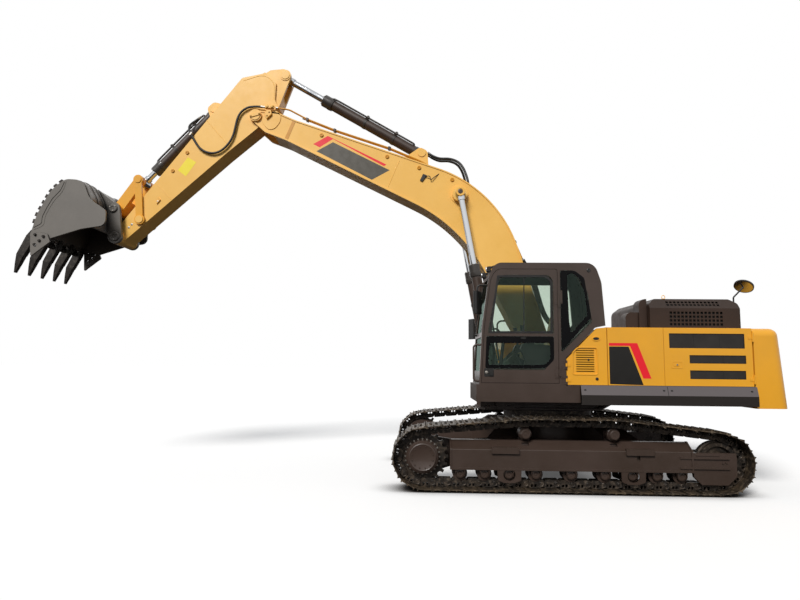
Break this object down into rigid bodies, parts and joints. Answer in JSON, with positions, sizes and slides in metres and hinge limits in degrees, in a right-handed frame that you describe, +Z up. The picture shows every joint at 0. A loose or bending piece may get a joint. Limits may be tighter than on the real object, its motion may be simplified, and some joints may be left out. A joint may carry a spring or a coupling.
{
  "type": "crawler excavator",
  "caption": "Crawler excavator with a cab, hinged boom, arm and toothed bucket worked by hydraulic cylinders, on steel tracks with a swinging upper structure.",
  "frame": {"origin": "On the ground, under the middle of the machine's length and width as it is parked; the swing axis is 2.61 m behind it.", "axes": "+X ahead of the upper structure towards the bucket, +Y to the cab's side (the machine's left), +Z up."},
  "size_m": [11.8715, 3.19, 6.7825],
  "materials": {
    "yellow_paint": "semi-gloss",
    "dark_paint": "satin",
    "cover_paint": "gloss",
    "track_steel": "worn",
    "machined_steel": "satin",
    "chrome_rod": "polished",
    "tinted_glass": "clear",
    "seat_fabric": "woven",
    "cab_plastic": "matte",
    "mirror_body": "gloss"
  },
  "bodies": {
    "undercarriage": {"track_left": "track_steel", "track_right": "track_steel", "track_frames": "dark_paint", "idler_yokes": "dark_paint", "sprockets": "track_steel", "final_drives": "dark_paint", "idlers": "track_steel", "track_rollers": "dark_paint", "carrier_rollers": "dark_paint", "carbody": "dark_paint", "swing_ring_lower": "track_steel"},
    "upper": {"swing_ring_upper": "track_steel", "main_floor": "dark_paint", "main_webs": "dark_paint", "deck_bearers": "dark_paint", "frame_pins": "machined_steel", "decks": "dark_paint", "catwalks": "dark_paint", "counterweight": "yellow_paint", "house_shell": "yellow_paint", "engine_humps": "cover_paint", "engine": "dark_paint", "fuel_tank": "yellow_paint", "tool_box": "yellow_paint", "hydraulic_tank": "yellow_paint", "handrails": "dark_paint", "side_mirrors": "mirror_body", "cab_shell": "dark_paint", "cab_glass": "tinted_glass", "seat_base": "cab_plastic", "seat_cushions": "seat_fabric", "consoles": "cab_plastic", "side_panels": "yellow_paint"},
    "louvre_door": {"louvre_panel": "yellow_paint"},
    "cab_door": {"cab_door": "dark_paint", "cab_door_glass": "tinted_glass"},
    "side_door": {"side_door": "yellow_paint"},
    "pump_door": {"pump_door": "yellow_paint"},
    "engine_cover": {"engine_cover": "cover_paint", "cover_grilles": "cover_paint", "rear_mirror": "mirror_body"},
    "boom": {"boom": "yellow_paint", "boom_pins": "machined_steel"},
    "arm": {"arm": "yellow_paint", "arm_pins": "machined_steel"},
    "boom_barrels": {"boom_cylinder_barrels": "dark_paint"},
    "boom_rods": {"boom_cylinder_rods": "chrome_rod"},
    "arm_barrel": {"arm_cylinder_barrel": "dark_paint"},
    "arm_rod": {"arm_cylinder_rod": "chrome_rod"},
    "bucket_barrel": {"bucket_cylinder_barrel": "dark_paint"},
    "bucket_rod": {"bucket_cylinder_rod": "chrome_rod"},
    "rockers": {"rockers": "yellow_paint"},
    "link": {"bucket_link": "yellow_paint"},
    "bucket": {"bucket": "dark_paint", "bucket_teeth": "track_steel", "side_cutters": "dark_paint", "wear_blocks": "dark_paint", "bucket_pins": "machined_steel"}
  },
  "joints": [
    {"name": "swing", "type": "hinge", "parent": "undercarriage", "child": "upper", "pos_m": [-2.61, 0, 0.94], "axis": [0, 0, 1], "continuous": true},
    {"name": "boom_lift", "type": "hinge", "parent": "upper", "child": "boom", "pos_m": [-2.46, 0, 2.05], "axis": [0, -1, 0], "range_deg": [-83, 27]},
    {"name": "arm_curl", "type": "hinge", "parent": "boom", "child": "arm", "pos_m": [2.27104, 0, 5.90854], "axis": [0, 1, 0], "range_deg": [-42, 65]},
    {"name": "bucket_curl", "type": "hinge", "parent": "arm", "child": "bucket", "pos_m": [4.54192, 0, 3.7983], "axis": [0, 1, 0], "range_deg": [-10, 150]},
    {"name": "boom_barrel_swing", "type": "hinge", "parent": "upper", "child": "boom_barrels", "pos_m": [-1.73, 0, 1.6], "axis": [0, -1, 0], "range_deg": [-86.25, 28.09]},
    {"name": "boom_rod_slide", "type": "slide", "parent": "boom_barrels", "child": "boom_rods", "axis": [0.1821, 0, 0.9833], "range_m": [-1.0479, 0.3422]},
    {"name": "arm_barrel_swing", "type": "hinge", "parent": "boom", "child": "arm_barrel", "pos_m": [-0.55861, 0, 5.28988], "axis": [0, 1, 0], "range_deg": [-1.95, 3]},
    {"name": "arm_rod_slide", "type": "slide", "parent": "arm_barrel", "child": "arm_rod", "axis": [0.8634, 0, 0.5046], "range_m": [-0.5789, 0.8948]},
    {"name": "bucket_barrel_swing", "type": "hinge", "parent": "arm", "child": "bucket_barrel", "pos_m": [3.03918, 0, 6.09025], "axis": [0, 1, 0], "range_deg": [-1.01, 0.11]},
    {"name": "bucket_rod_slide", "type": "slide", "parent": "bucket_barrel", "child": "bucket_rod", "axis": [0.6816, 0, -0.7318], "range_m": [-0.0751, 1.098]},
    {"name": "rocker_swing", "type": "hinge", "parent": "arm", "child": "rockers", "pos_m": [4.18098, 0, 4.10914], "axis": [0, 1, 0], "range_deg": [-6.77, 100.9]},
    {"name": "link_swing", "type": "hinge", "parent": "bucket", "child": "link", "pos_m": [4.59192, 0, 4.2783], "axis": [0, 1, 0], "range_deg": [-112.22, 7.53]},
    {"name": "cab_door_hinge", "type": "hinge", "parent": "upper", "child": "cab_door", "pos_m": [-2.492, 1.505, 2], "axis": [0, 0, 1], "range_deg": [0, 165]},
    {"name": "louvre_door_hinge", "type": "hinge", "parent": "upper", "child": "louvre_door", "pos_m": [-2.585, 1.502, 1.8], "axis": [0, 0, 1], "range_deg": [-70, 0]},
    {"name": "side_door_hinge", "type": "hinge", "parent": "upper", "child": "side_door", "pos_m": [-5.148, 1.502, 1.85], "axis": [0, 0, -1], "range_deg": [-100, 0]},
    {"name": "pump_door_hinge", "type": "hinge", "parent": "upper", "child": "pump_door", "pos_m": [-5.148, -1.502, 1.85], "axis": [0, 0, -1], "range_deg": [0, 100]},
    {"name": "engine_cover_hinge", "type": "hinge", "parent": "upper", "child": "engine_cover", "pos_m": [-5.326, 0, 2.288], "axis": [0, -1, 0], "range_deg": [0, 45]}
  ],
  "couplings": [
    {"joint": "boom_barrel_swing", "follows": "boom_lift", "ratio": 1.0386},
    {"joint": "boom_rod_slide", "follows": "boom_lift", "m_per_rad": 0.722},
    {"joint": "arm_barrel_swing", "follows": "arm_curl", "ratio": 0.04532},
    {"joint": "arm_rod_slide", "follows": "arm_curl", "m_per_rad": 0.78695},
    {"joint": "bucket_barrel_swing", "follows": "bucket_curl", "ratio": -0.00639},
    {"joint": "bucket_rod_slide", "follows": "bucket_curl", "m_per_rad": 0.41865},
    {"joint": "rocker_swing", "follows": "bucket_curl", "ratio": 0.67236},
    {"joint": "link_swing", "follows": "bucket_curl", "ratio": -0.74778}
  ]
}
